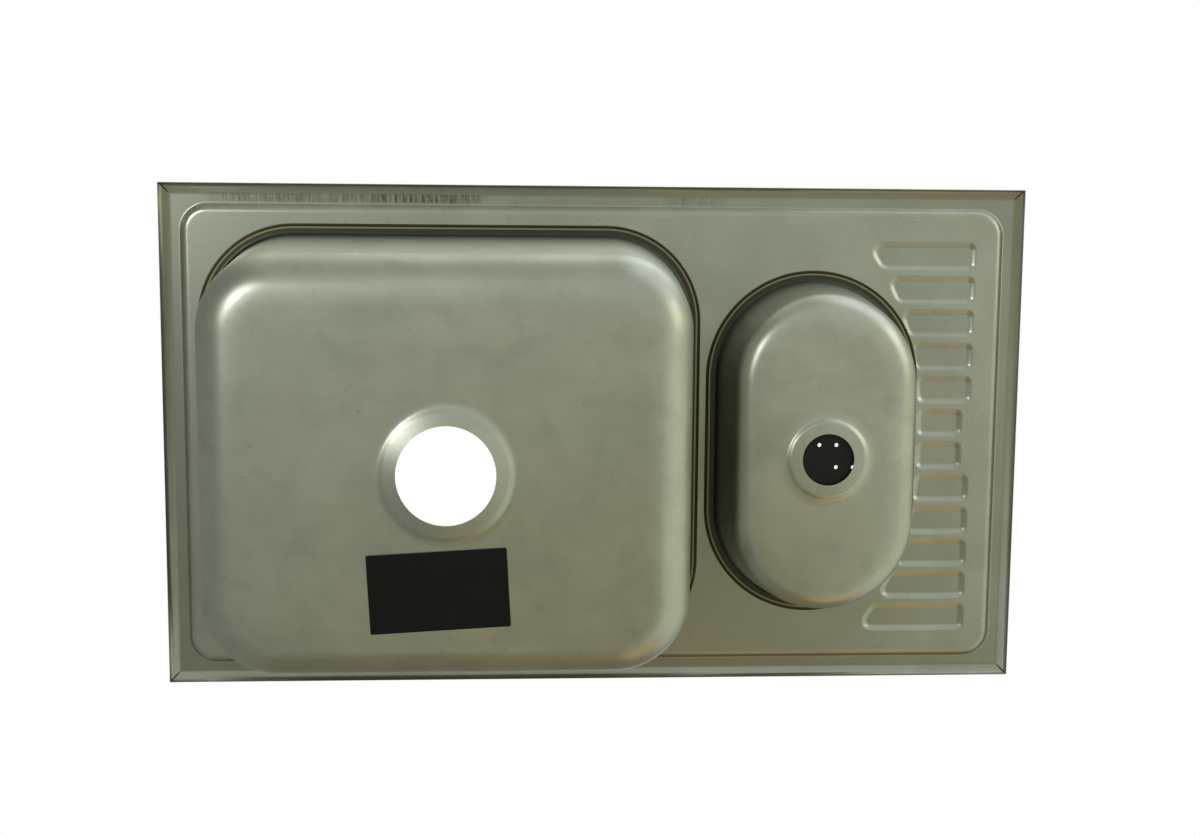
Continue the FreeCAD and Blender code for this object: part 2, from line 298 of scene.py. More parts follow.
# share of a zone's full strength, fading towards the zone's ends
def zoneMask(tree, at, zone):
    away = addNode(tree, "ShaderNodeMath", {"operation": "SUBTRACT"}, {
        0: at.outputs[zone["axis"]], 1: zone["middle"] / metre,
    })
    away = addNode(tree, "ShaderNodeMath", {"operation": "ABSOLUTE"}, {0: away.outputs[0]})
    fade = addNode(tree, "ShaderNodeMapRange", inputs={
        "Value": away.outputs[0], "From Min": zone["half"] / metre,
        "From Max": (zone["half"] - zone["fade"]) / metre, "To Max": zone["share"],
    })
    return fade.outputs["Result"]


def makeRolledSteel():
    material, tree = newMaterial("coldRolledStainless")
    place = addNode(tree, "ShaderNodeTexCoord").outputs["Object"]
    colour, gloss, relief = sheetSteel(tree, rolledSteel, place)
    # dried residue under one long side of the border, in short streaks across it
    across = addNode(tree, "ShaderNodeMapping", inputs={
        "Vector": place, "Scale": patternScale(rolledSteel["streak"]),
    })
    streaks = addNode(tree, "ShaderNodeTexNoise", inputs={
        "Vector": across.outputs["Vector"], "Scale": 1.0, "Detail": rolledSteel["streakDetail"],
    })
    residue = addNode(tree, "ShaderNodeMapRange", inputs={
        "Value": streaks.outputs["Fac"], "From Min": rolledSteel["streakRange"][0],
        "From Max": rolledSteel["streakRange"][1],
    }).outputs["Result"]
    at = addNode(tree, "ShaderNodeSeparateXYZ", inputs={"Vector": place})
    strip = zoneMask(tree, at, rolledSteel["residueAcross"])
    length = 0.0
    for zone in rolledSteel["residueAlong"]:
        mask = zoneMask(tree, at, zone)
        length = addNode(tree, "ShaderNodeMath", {"operation": "ADD"}, {
            0: length, 1: mask,
        }).outputs[0]
    for mask in (strip, length):
        residue = addNode(tree, "ShaderNodeMath", {"operation": "MULTIPLY"}, {
            0: residue, 1: mask,
        }).outputs[0]
    # the border, which is the highest part, has a duller film than the deck
    film = addNode(tree, "ShaderNodeMapRange", inputs={
        "Value": at.outputs["Z"], "From Min": rolledSteel["filmRise"][0] / metre,
        "From Max": rolledSteel["filmRise"][1] / metre, "To Max": rolledSteel["filmShare"],
    }).outputs["Result"]
    facing = addNode(tree, "ShaderNodeNewGeometry")
    tilt = addNode(tree, "ShaderNodeSeparateXYZ", inputs={"Vector": facing.outputs["True Normal"]})
    under = addNode(tree, "ShaderNodeMath", {"operation": "LESS_THAN"}, {
        0: tilt.outputs["Z"], 1: rolledSteel["underTilt"],
    })
    for name, mask in (("film", film), ("residue", residue)):
        stain = addNode(tree, "ShaderNodeMath", {"operation": "MULTIPLY"}, {0: mask, 1: under.outputs[0]})
        colour = addNode(tree, "ShaderNodeMix", {"data_type": "RGBA"}, {
            mixShare: stain.outputs[0], mixUnder: colour, mixOver: linearColour(rolledSteel[name]),
        }).outputs[mixResult]
    metalOutput(tree, colour, gloss, relief)
    return material


def makeDrawnSteel():
    material, tree = newMaterial("deepDrawnStainless")
    place = addNode(tree, "ShaderNodeTexCoord").outputs["Object"]
    colour, gloss, relief = sheetSteel(tree, drawnSteel, place)
    down = addNode(tree, "ShaderNodeMapping", inputs={
        "Vector": place, "Scale": patternScale(drawnSteel["drawMark"]),
    })
    marks = addNode(tree, "ShaderNodeTexNoise", inputs={
        "Vector": down.outputs["Vector"], "Scale": 1.0, "Detail": drawnSteel["drawDetail"],
    })
    facing = addNode(tree, "ShaderNodeNewGeometry")
    tilt = addNode(tree, "ShaderNodeSeparateXYZ", inputs={"Vector": facing.outputs["Normal"]})
    flatness = addNode(tree, "ShaderNodeMath", {"operation": "ABSOLUTE"}, {0: tilt.outputs["Z"]})
    wall = addNode(tree, "ShaderNodeMapRange", inputs={
        "Value": flatness.outputs[0], "From Min": drawnSteel["wallTilt"][0],
        "From Max": drawnSteel["wallTilt"][1], "To Max": drawnSteel["drawShare"],
    })
    drawn = addNode(tree, "ShaderNodeMath", {"operation": "MULTIPLY"}, {
        0: marks.outputs["Fac"], 1: wall.outputs["Result"],
    })
    colour = addNode(tree, "ShaderNodeMix", {"data_type": "RGBA"}, {
        mixShare: drawn.outputs[0], mixUnder: colour, mixOver: linearColour(drawnSteel["drawShade"]),
    })
    gloss = addNode(tree, "ShaderNodeMath", {"operation": "MULTIPLY_ADD"}, {
        0: wall.outputs["Result"], 1: drawnSteel["wallDull"], 2: gloss,
    })
    wiped = addNode(tree, "ShaderNodeTexNoise", inputs={
        "Vector": place, "Scale": metre / drawnSteel["smudgeSize"],
        "Detail": drawnSteel["smudgeDetail"], "Distortion": drawnSteel["smudgeDrag"],
    })
    smudge = addNode(tree, "ShaderNodeMapRange", inputs={
        "Value": wiped.outputs["Fac"], "From Min": drawnSteel["smudgeRange"][0],
        "From Max": drawnSteel["smudgeRange"][1], "To Max": drawnSteel["smudgeShare"],
    })
    colour = addNode(tree, "ShaderNodeMix", {"data_type": "RGBA"}, {
        mixShare: smudge.outputs["Result"],
        mixUnder: colour.outputs[mixResult], mixOver: linearColour(drawnSteel["smudge"]),
    })
    # the mesh carries its nearness to the weld, 1 at the flange's edge
    heat = addNode(tree, "ShaderNodeAttribute", {"attribute_name": "weldHeat"})
    under = addNode(tree, "ShaderNodeMath", {"operation": "LESS_THAN"}, {0: tilt.outputs["Z"], 1: 0.0})
    nearness = addNode(tree, "ShaderNodeMath", {"operation": "MULTIPLY"}, {
        0: heat.outputs["Fac"], 1: under.outputs[0],
    })
    # the dark band is partly weld heat tint and partly painted shade where the flange bends into the wall;
    # the thin straw line at the edge is heat tint
    for tint in ("scorchAndShade", "straw"):
        start, full = drawnSteel[tint + "From"]
        band = addNode(tree, "ShaderNodeMapRange", inputs={
            "Value": nearness.outputs[0], "From Min": start, "From Max": full,
        })
        colour = addNode(tree, "ShaderNodeMix", {"data_type": "RGBA"}, {
            mixShare: band.outputs["Result"],
            mixUnder: colour.outputs[mixResult], mixOver: linearColour(drawnSteel[tint]),
        })
    metalOutput(tree, colour.outputs[mixResult], gloss.outputs[0], relief)
    return material


# Heat-tinted stainless weld: a rippled bead, straw coloured at its outer toe and darker with oxide inwards
weldOxide = {
    "straw": "#887D62", "dark": "#403C33", "toe": (0.04, 0.22),
    "patch": 9.0, "patchDetail": 3.0, "patchShare": 0.5,
    "ripple": 1.6, "rippleDetail": 1.0, "rippleDepth": 0.12, "roughness": 0.42,
}


def makeWeldOxide():
    material, tree = newMaterial("heatTintedWeld")
    place = addNode(tree, "ShaderNodeTexCoord").outputs["Object"]
    patches = addNode(tree, "ShaderNodeTexNoise", inputs={
        "Vector": place, "Scale": metre / weldOxide["patch"], "Detail": weldOxide["patchDetail"],
    })
    # the mesh carries the place on the bead, from 0 to 1
    heat = addNode(tree, "ShaderNodeAttribute", {"attribute_name": "weldHeat"})
    inwards = addNode(tree, "ShaderNodeMapRange", inputs={
        "Value": heat.outputs["Fac"], "From Min": weldOxide["toe"][0], "From Max": weldOxide["toe"][1],
    })
    oxide = addNode(tree, "ShaderNodeMath", {"operation": "MULTIPLY_ADD", "use_clamp": True}, {
        0: patches.outputs["Fac"], 1: weldOxide["patchShare"], 2: inwards.outputs["Result"],
    })
    colour = addNode(tree, "ShaderNodeMix", {"data_type": "RGBA"}, {
        mixShare: oxide.outputs[0],
        mixUnder: linearColour(weldOxide["straw"]), mixOver: linearColour(weldOxide["dark"]),
    })
    ripples = addNode(tree, "ShaderNodeTexNoise", inputs={
        "Vector": place, "Scale": metre / weldOxide["ripple"], "Detail": weldOxide["rippleDetail"],
    })
    relief = addNode(tree, "ShaderNodeBump", inputs={
        "Height": ripples.outputs["Fac"], "Strength": 1.0, "Distance": weldOxide["rippleDepth"] / metre,
    })
    metalOutput(tree, colour.outputs[mixResult], weldOxide["roughness"], relief.outputs["Normal"])
    return material


# Bitumen sheet: dull black with mineral grit, and polypropylene: black with a fine moulded texture; on the
# strainer this black is also painted shade under its plate.
# Both textures are drawn coarser than they are, so that they show.
bitumenSheet = {
    "name": "bitumenSheet", "pale": "#151714", "dark": "#0A0C0A", "patch": 26.0, "patchDetail": 4.0,
    "grit": 1.5, "gritDetail": 2.0, "gritDepth": 0.12,
    "roughness": (0.62, 0.85), "ior": 1.58, "specular": 0.12,
}
blackPlasticAndShade = {
    "name": "blackPolypropyleneAndShade", "pale": "#14181A", "dark": "#0B0E10", "patch": 12.0, "patchDetail": 4.0,
    "grit": 0.9, "gritDetail": 2.0, "gritDepth": 0.03,
    "roughness": (0.42, 0.55), "ior": 1.49, "specular": 0.25,
}


def makeBlackSolid(finish):
    material, tree = newMaterial(finish["name"])
    place = addNode(tree, "ShaderNodeTexCoord").outputs["Object"]
    patches = addNode(tree, "ShaderNodeTexNoise", inputs={
        "Vector": place, "Scale": metre / finish["patch"], "Detail": finish["patchDetail"],
    })
    grit = addNode(tree, "ShaderNodeTexNoise", inputs={
        "Vector": place, "Scale": metre / finish["grit"], "Detail": finish["gritDetail"],
    })
    tone = addNode(tree, "ShaderNodeMath", {"operation": "MULTIPLY"}, {
        0: patches.outputs["Fac"], 1: grit.outputs["Fac"],
    })
    colour = addNode(tree, "ShaderNodeMix", {"data_type": "RGBA"}, {
        mixShare: tone.outputs[0],
        mixUnder: linearColour(finish["dark"]), mixOver: linearColour(finish["pale"]),
    })
    gloss = addNode(tree, "ShaderNodeMapRange", inputs={
        "Value": patches.outputs["Fac"], "To Min": finish["roughness"][0], "To Max": finish["roughness"][1],
    })
    relief = addNode(tree, "ShaderNodeBump", inputs={
        "Height": grit.outputs["Fac"], "Strength": 1.0, "Distance": finish["gritDepth"] / metre,
    })
    skin = addNode(tree, "ShaderNodeBsdfPrincipled", inputs={
        "Base Color": colour.outputs[mixResult], "Metallic": 0.0, "Roughness": gloss.outputs["Result"],
        "IOR": finish["ior"], "Specular IOR Level": finish["specular"], "Normal": relief.outputs["Normal"],
    })
    addNode(tree, "ShaderNodeOutputMaterial", inputs={"Surface": skin.outputs["BSDF"]})
    return material


deckFinish = makeRolledSteel()
bowlFinish = makeDrawnSteel()
weldFinish = makeWeldOxide()
padFinish = makeBlackSolid(bitumenSheet)
# the strainer's near-black is partly painted shade on the underside of its plate
strainerFinish = makeBlackSolid(blackPlasticAndShade)
print("finishes ready")

# Deck: turned-down rim, border, step, flat with two cut-outs, drainer ribs
deckPanel = {
    "half": (430.0, 250.0), "rise": 6.0, "edgeSet": 0.45, "foldRound": 1.0, "foldSteps": 3,
    "skirt": [(1.2, 2.2), (2.6, 1.6), (5.5, 2.2)], "collar": 2.6,
    "stepHalf": (411.3, 231.3), "stepCorner": 28.0, "stepSteps": 16, "stepLip": 1.5,
    "stepAngle": 39.0, "stepBend": 2.6, "stepShoulder": 8.0, "underside": 1.5,
    "ribCount": 12, "ribLow": -198.0, "ribWidth": 30.1, "ribLand": 3.62, "ribEnd": 383.2,
    "ribFront": 326.0, "ribArc": 300.0, "ribArcFlat": 20.0, "ribMiddle": 2.5,
    "shortRibs": (5, 6), "shortCut": 8.5, "ribCorner": 8.4, "ribCornerSteps": 8,
    "ribRise": 2.2, "ribFlank": 6.4, "ribFlankSteps": 10, "ribCollar": 0.15,
}


# the ribs' fronts lie on a wide arc with a flat middle
def ribFrontAt(y):
    beyond = max(0.0, abs(y - deckPanel["ribMiddle"]) - deckPanel["ribArcFlat"])
    bow = deckPanel["ribArc"] - math.sqrt(deckPanel["ribArc"] ** 2 - beyond ** 2)
    return deckPanel["ribFront"] - bow


def pressRib(bm, index):
    lowY = deckPanel["ribLow"] + index * (deckPanel["ribWidth"] + deckPanel["ribLand"])
    highY = lowY + deckPanel["ribWidth"]
    endX = deckPanel["ribEnd"] - (deckPanel["shortCut"] if index in deckPanel["shortRibs"] else 0)
    plan = [(ribFrontAt(lowY), lowY), (ribFrontAt(highY), highY), (endX, highY), (endX, lowY)]
    corners = [bm.verts.new((x, y, deckPanel["underside"])) for x, y in plan]
    angles = [loop.calc_angle() for loop in bm.faces.new(corners).loops]
    for corner, angle in zip(corners, angles):
        # the rounding is a sheared quarter circle, long enough that its tightest place keeps the radius
        reach = deckPanel["ribCorner"] * math.sin(angle) / min(1.0, 1 - math.cos(angle)) ** 1.5
        rounded = bmesh.ops.bevel(
            bm, geom=[corner], offset=reach, offset_type="OFFSET",
            segments=deckPanel["ribCornerSteps"], profile=0.5, affect="VERTICES", material=-1,
        )
    foot = rounded["verts"][0].link_faces[0]
    bmesh.ops.inset_individual(bm, faces=[foot], thickness=deckPanel["ribCollar"], use_even_offset=True)
    steps = deckPanel["ribFlankSteps"]
    risen = 0.0
    for step in range(1, steps + 1):
        height = deckPanel["ribRise"] * (1 - math.cos(math.pi * step / steps)) / 2
        bmesh.ops.inset_individual(
            bm, faces=[foot], thickness=deckPanel["ribFlank"] / steps, depth=risen - height,
            use_even_offset=True,
        )
        risen = height
    bmesh.ops.inset_individual(bm, faces=[foot], thickness=deckPanel["ribCollar"], use_even_offset=True)


def buildDeck(cutOuts):
    bm = bmesh.new()
    halfX, halfY = (size - deckPanel["edgeSet"] for size in deckPanel["half"])
    edge = [bm.verts.new((x * halfX, y * halfY, 0)) for x, y in ((1, -1), (1, 1), (-1, 1), (-1, -1))]
    loop = [bm.edges.new((edge[side - 1], edge[side])) for side in range(4)]
    folds = []
    for inwards, raised in deckPanel["skirt"] + [(deckPanel["collar"], 0)]:
        grown = bmesh.ops.extrude_edge_only(bm, edges=loop)["geom"]
        verts = only(grown, bmesh.types.BMVert)
        shrink = ((halfX - inwards) / halfX, (halfY - inwards) / halfY, 1)
        bmesh.ops.scale(bm, vec=shrink, verts=verts)
        bmesh.ops.translate(bm, vec=upward * raised, verts=verts)
        halfX, halfY = halfX - inwards, halfY - inwards
        loop = only(grown, bmesh.types.BMEdge)
        folds.append(loop)
    bmesh.ops.bevel(
        bm, geom=folds[-2], offset=deckPanel["foldRound"], offset_type="OFFSET",
        segments=deckPanel["foldSteps"], profile=0.5, affect="EDGES", material=-1,
    )
    stepTurn = math.radians(deckPanel["stepAngle"])
    bendsDrop = (deckPanel["stepBend"] + deckPanel["stepShoulder"]) * (1 - math.cos(stepTurn))
    straight = (deckPanel["rise"] - deckPanel["underside"] - bendsDrop) / math.sin(stepTurn)
    lip = deckPanel["stepLip"]
    step = bentProfile(bm, (-lip, 0, deckPanel["rise"]), [
        ("line", lip),
        ("bend", deckPanel["stepBend"], -deckPanel["stepAngle"]),
        ("line", straight),
        ("bend", deckPanel["stepShoulder"], deckPanel["stepAngle"]),
        ("line", lip),
    ])
    carryRound(bm, step, {
        "centre": (0, 0), "half": deckPanel["stepHalf"], "corner": deckPanel["stepCorner"],
        "steps": deckPanel["stepSteps"],
    })
    levelOff(bm, deckPanel["underside"])
    fillFlat(bm, deckPanel["rise"])
    for outline in cutOuts:
        cut = bentProfile(bm, (0, 0, deckPanel["underside"]), [])
        carryRound(bm, cut, outline)
    for index in range(deckPanel["ribCount"]):
        pressRib(bm, index)
    fillFlat(bm, deckPanel["underside"])
    thickenSheet(bm)
    finishPiece("deckPanel", bm, deckFinish, "sink", ["deck_panel"])


# Bowls: flange, bend, drafted wall, bottom bend, floor, pressed outlet
bowlFlange = {"width": 5.5, "bend": 4.5, "lap": 4.5, "heatReach": 12.0}
mainBowl = {
    "centre": (-145.5, 6.0), "half": (246.51, 215.01), "corner": 93.0, "steps": 26,
    "depth": 185.0, "draft": 5.0, "bottomBend": 35.0,
    "drainY": 10.0, "recess": 126.0, "recessDrop": 2.8, "seatSlope": 14.0, "hole": 90.0,
    "outletEase": (40.0, 5.0), "outletBend": (10.0, 24.0),
}
halfBowl = {
    "centre": (217.51, 6.0), "half": (105.5, 172.01), "corner": 105.5, "steps": 30,
    "depth": 90.0, "draft": 6.0, "bottomBend": 21.0,
    "drainY": 10.0, "recess": 82.0, "recessDrop": 3.2, "seatSlope": 2.0, "hole": 50.0,
    "outletEase": (44.0, 8.0), "outletBend": (5.0, 36.0),
}
floorEase = {"radius": 130.0, "angle": 6.0}
outlet = {"steps": 24, "lip": 3.0}


def cutOutOf(bowl):
    lap = bowlFlange["lap"]
    return {
        "centre": bowl["centre"], "half": (bowl["half"][0] - lap, bowl["half"][1] - lap),
        "corner": bowl["corner"] - lap, "steps": bowl["steps"],
    }


# widens the pressed outlet by the run in which the floor eases down
def outletRadius(bowl):
    radius, angle = bowl["outletEase"]
    return bowl["recess"] / 2 + radius * math.sin(math.radians(angle))


def outletMoves(bowl):
    easeBend, easeAngle = bowl["outletEase"]
    bend, angle = bowl["outletBend"]
    ease, step, seat = (math.radians(turn) for turn in (easeAngle, angle, bowl["seatSlope"]))
    seatBend = bend + sheetMetal["thickness"]
    bendsDrop = easeBend * (1 - math.cos(ease)) + bend * (math.cos(ease) - math.cos(step))
    bendsDrop += seatBend * (math.cos(seat) - math.cos(step))
    bendsRun = easeBend * math.sin(ease) + bend * (math.sin(step) - math.sin(ease))
    bendsRun += seatBend * (math.sin(step) - math.sin(seat))
    straight = (bowl["recessDrop"] - bendsDrop) / math.sin(step)
    seatRun = outletRadius(bowl) - bendsRun - straight * math.cos(step) - bowl["hole"] / 2
    return [
        ("line", outlet["lip"]),
        ("bend", easeBend, -easeAngle),
        ("bend", bend, easeAngle - angle),
        ("line", straight),
        ("bend", seatBend, angle - bowl["seatSlope"]),
        ("line", seatRun / math.cos(seat)),
    ]


def buildBowl(name, bowl, node):
    bm = bmesh.new()
    heat = bm.verts.layers.float.new("weldHeat")
    tilt = math.radians(bowl["draft"])
    flange = deckPanel["underside"] - sheetMetal["thickness"]
    floor = deckPanel["underside"] - bowl["depth"]
    ease = math.radians(floorEase["angle"])
    bendsDrop = bowlFlange["bend"] * (1 - math.sin(tilt))
    bendsDrop += bowl["bottomBend"] * (math.cos(ease) - math.sin(tilt))
    bendsDrop += floorEase["radius"] * (1 - math.cos(ease))
    wall = bentProfile(bm, (0, 0, flange), [
        ("line", bowlFlange["width"]),
        ("bend", bowlFlange["bend"], bowl["draft"] - 90),
        ("line", (flange - floor - bendsDrop) / math.cos(tilt)),
        ("bend", bowl["bottomBend"], 90 - bowl["draft"] - floorEase["angle"]),
        ("bend", floorEase["radius"], floorEase["angle"]),
        ("line", sheetMetal["flatLip"]),
    ])
    for vert in only(wall, bmesh.types.BMVert):
        vert[heat] = max(0.0, 1 - vert.co.x / bowlFlange["heatReach"])
    carryRound(bm, wall, bowl)
    lipRadius = outletRadius(bowl) + outlet["lip"]
    seat = bentProfile(bm, (0, 0, floor), outletMoves(bowl))
    drain = (bowl["centre"][0], bowl["drainY"])
    carryRound(bm, seat, circleOutline(drain, lipRadius, outlet["steps"]))
    levelOff(bm, floor)
    fillFlat(bm, floor)
    thickenSheet(bm)
    finishPiece(name, bm, bowlFinish, "sink", [node])


buildDeck([cutOutOf(mainBowl), cutOutOf(halfBowl)])
buildBowl("mainBowl", mainBowl, "main_bowl")
buildBowl("halfBowl", halfBowl, "half_bowl")

# Weld beads between the flanges' edges and the deck
seamBead = {"reach": 1.6, "height": 0.8, "out": 0.7, "drop": 0.45, "sides": 14}


def buildSeam(name, bowl, node):
    bm = bmesh.new()
    heat = bm.verts.layers.float.new("weldHeat")
    upright = Matrix.Rotation(quarterTurn, 4, "X")
    bead = bmesh.ops.create_circle(bm, segments=seamBead["sides"], radius=1, matrix=upright)["verts"]
    bmesh.ops.scale(bm, vec=(seamBead["reach"], 1, seamBead["height"]), verts=bead)
    shift = Vector((-seamBead["out"], 0, deckPanel["underside"] - seamBead["drop"]))
    bmesh.ops.translate(bm, vec=shift, verts=bead)
    toe = -seamBead["out"] - seamBead["reach"]
    for vert in bead:  # 0 at the outer toe, 1 at the inner one
        vert[heat] = (vert.co.x - toe) / (2 * seamBead["reach"])
    carryRound(bm, bm.verts[:] + bm.edges[:], bowl)
    bmesh.ops.recalc_face_normals(bm, faces=bm.faces)
    finishPiece(name, bm, weldFinish, "sink", [node])


buildSeam("mainSeamWeld", mainBowl, "main_bowl_seam_weld")
buildSeam("halfSeamWeld", halfBowl, "half_bowl_seam_weld")

# Short welds along the rim's mitred corners: rippled beads that thin out at both ends
cornerWeld = {
    "radius": 0.85, "flat": 0.7, "sides": 12, "rings": 36, "ripples": 9, "rippleShare": 0.12, "tip": 0.35,
}


# place on the skirt's underside, from 0 at the outer edge to 1 at the fold
def skirtPoint(share):
    left = share * sum(run for run, rise in deckPanel["skirt"])
    inwards, height = 0.0, 0.0
    for run, rise in deckPanel["skirt"]:
        part = min(1.0, max(0.0, left / run))
        inwards += run * part
        height += rise * part
        left -= run
    return inwards, height


def layCornerBead(bm, signX, signY):
    halfX, halfY = (size - deckPanel["edgeSet"] for size in deckPanel["half"])
    heat = bm.verts.layers.float["weldHeat"]
    rings = cornerWeld["rings"]
    slope = math.atan2(deckPanel["rise"], math.sqrt(2) * skirtPoint(1)[0])
    inwardTurn = Matrix.Rotation(math.atan2(-signY, -signX), 4, "Z")
    along = inwardTurn @ Matrix.Rotation(quarterTurn - slope, 4, "Y")
    ring = bmesh.ops.create_circle(
        bm, segments=cornerWeld["sides"], radius=cornerWeld["radius"], matrix=along
    )["verts"]
    bmesh.ops.scale(bm, vec=(1, 1, cornerWeld["flat"]), verts=ring)
    first = loop = list({edge for vert in ring for edge in vert.link_edges})
    middle, width = Vector((0, 0, 0)), 1.0
    for step in range(rings + 1):
        share = step / rings
        inwards, height = skirtPoint(share)
        target = Vector((signX * (halfX - inwards), signY * (halfY - inwards), height))
        swell = 1 + cornerWeld["rippleShare"] * math.cos(math.tau * cornerWeld["ripples"] * share)
        fullness = cornerWeld["tip"] + (1 - cornerWeld["tip"]) * math.sin(math.pi * share)
        if step > 0:
            grown = bmesh.ops.extrude_edge_only(bm, edges=loop)["geom"]
            ring = only(grown, bmesh.types.BMVert)
            loop = only(grown, bmesh.types.BMEdge)
            loop = [edge for edge in loop if all(vert in ring for vert in edge.verts)]
        bmesh.ops.translate(bm, vec=target - middle, verts=ring)
        size = swell * fullness / width
        bmesh.ops.scale(bm, vec=(size, size, size), space=Matrix.Translation(-target), verts=ring)
        for vert in ring:
            vert[heat] = share
        middle, width = target, swell * fullness
    for end in (first, loop):
        bmesh.ops.edgeloop_fill(bm, edges=end)


def buildCornerWelds():
    bm = bmesh.new()
    bm.verts.layers.float.new("weldHeat")
    for signX in (-1, 1):
        for signY in (-1, 1):
            layCornerBead(bm, signX, signY)
    bmesh.ops.recalc_face_normals(bm, faces=bm.faces)
    finishPiece("rimCornerWelds", bm, weldFinish, "sink", ["rim_corner_welds"])


buildCornerWelds()

# Sound-deadening pad stuck under the main bowl
soundPad = {
    "half": (63.0, 36.0), "thickness": 2.0, "centre": (-152.5, 115.0), "turn": -3.2,
    "corner": 1.5, "cornerSteps": 5, "edge": 0.5, "edgeSteps": 3, "floor": -183.5,
}


def buildPad():
    bm = bmesh.new()
    halfX, halfY = soundPad["half"]
    plan = ((-halfX, -halfY), (-halfX, halfY), (halfX, halfY), (halfX, -halfY))
    corners = [bm.verts.new((x, y, soundPad["floor"])) for x, y in plan]
    bm.faces.new(corners)
    rounded = bmesh.ops.bevel(
        bm, geom=corners, offset=soundPad["corner"], offset_type="OFFSET",
        segments=soundPad["cornerSteps"], profile=0.5, affect="VERTICES", material=-1,
    )
    face = rounded["verts"][0].link_faces[0]
    grown = bmesh.ops.extrude_face_region(bm, geom=[face])["geom"]
    bmesh.ops.translate(bm, vec=-upward * soundPad["thickness"], verts=only(grown, bmesh.types.BMVert))
    lower = only(grown, bmesh.types.BMFace)[0]
    bmesh.ops.bevel(
        bm, geom=lower.edges[:], offset=soundPad["edge"], offset_type="OFFSET",
        segments=soundPad["edgeSteps"], profile=0.5, affect="EDGES", material=-1,
    )
    bmesh.ops.recalc_face_normals(bm, faces=bm.faces)
    turn = Matrix.Rotation(math.radians(soundPad["turn"]), 4, "Z")
    place = Matrix.Translation((*soundPad["centre"], 0)) @ turn
    bmesh.ops.transform(bm, matrix=place, verts=bm.verts)
    finishPiece("soundPad", bm, padFinish, "sink", ["sound_pad"])


buildPad()

# Lift-out strainer in the half bowl's outlet
strainer = {
    "radius": 33.47, "footWidth": 2.5, "foot": 3.0, "plate": 2.0, "base": -90.9, "edge": 0.5,
    "hole": 3.9, "holeSides": 20, "columns": 4, "rows": 2, "columnPitch": 16.6, "rowPitch": 21.6,
    "rowShift": -3.0, "blocked": (1, 1),
    "stem": 4.0, "head": 7.5, "knob": 14.0, "cap": 5.0, "capRound": 1.2, "steps": 16,
}


def buildStrainer():
    bm = bmesh.new()
    centre = (halfBowl["centre"][0], halfBowl["drainY"])
    plateLow = strainer["base"] + strainer["foot"]
    plateHigh = plateLow + strainer["plate"]
    edge, cap = strainer["edge"], strainer["capRound"]
    footInside = strainer["footWidth"]
    foot = bentProfile(bm, (footInside, 0, plateLow), [
        ("line", strainer["foot"]), ("turn", -90), ("line", footInside - edge), ("bend", edge, -90),
        ("line", strainer["foot"] + strainer["plate"] - 2 * edge), ("bend", edge, -90),
    ], facing=-90)
    carryRound(bm, foot, circleOutline(centre, strainer["radius"], strainer["steps"]))
    knob = bentProfile(bm, (strainer["radius"] - strainer["stem"], 0, plateHigh), [
        ("line", strainer["knob"] - strainer["cap"]), ("turn", 90),
        ("line", strainer["head"] - strainer["stem"] - cap), ("bend", cap, -90),
        ("line", strainer["cap"] - 2 * cap), ("bend", cap, -90), ("line", strainer["head"] - cap),
    ], facing=90)
    carryRound(bm, knob, circleOutline(centre, strainer["radius"], strainer["steps"]))
    for column in range(strainer["columns"]):
        for row in range(strainer["rows"]):
            if (column, row) == strainer["blocked"]:  # the one hole that lets no light through
                continue
            x = centre[0] + (column - (strainer["columns"] - 1) / 2) * strainer["columnPitch"]
            y = centre[1] + (row - (strainer["rows"] - 1) / 2) * strainer["rowPitch"] + strainer["rowShift"]
            bmesh.ops.create_circle(
                bm, segments=strainer["holeSides"], radius=strainer["hole"] / 2,
                matrix=Matrix.Translation((x, y, plateLow)),
            )
    loops = [rim for rim in bm.edges if not rim.link_faces]
    grown = bmesh.ops.extrude_edge_only(bm, edges=loops)["geom"]
    bmesh.ops.translate(bm, vec=upward * strainer["plate"], verts=only(grown, bmesh.types.BMVert))
    fillFlat(bm, plateLow)
    fillFlat(bm, plateHigh)
    bmesh.ops.remove_doubles(bm, verts=bm.verts, dist=mergeGap)
    bmesh.ops.recalc_face_normals(bm, faces=bm.faces)
    finishPiece("liftOutStrainer", bm, strainerFinish, "strainer", ["strainer"])


buildStrainer()

# Camera where the photograph was taken, under the sink and looking up at it; clip is in metres
camera = {
    "place": (-99.25, -216.35, -1608.97), "aim": (2.91, -14.21, 0.0), "roll": 0.47,
    "focalPixels": 1614.56, "framePixels": 1200.0, "sensor": 36.0, "shift": (0.0002, 0.0045),
    "clip": (0.01, 50.0),
}


def placeCamera():
    data = bpy.data.cameras.new("photoCamera")
    data.sensor_fit = "HORIZONTAL"
    data.sensor_width = camera["sensor"]
    data.lens = camera["focalPixels"] / camera["framePixels"] * camera["sensor"]
    data.shift_x, data.shift_y = camera["shift"]
    data.clip_start, data.clip_end = camera["clip"]
    place, aim = Vector(camera["place"]), Vector(camera["aim"])
    ahead = (aim - place).normalized()
    right = ahead.cross(Vector((0, -1, 0))).normalized()  # the photograph's top is towards -Y
    top = right.cross(ahead)
    roll = math.radians(camera["roll"])
    rolledRight = right * math.cos(roll) + top * math.sin(roll)
    rolledTop = top * math.cos(roll) - right * math.sin(roll)
    turn = Matrix((rolledRight, rolledTop, -ahead)).transposed().to_4x4()
    item = bpy.data.objects.new("photoCamera", data)
    item.matrix_world = Matrix.Translation(place / metre) @ turn
    bpy.context.scene.collection.objects.link(item)
    bpy.context.scene.camera = item


placeCamera()
print("camera placed")


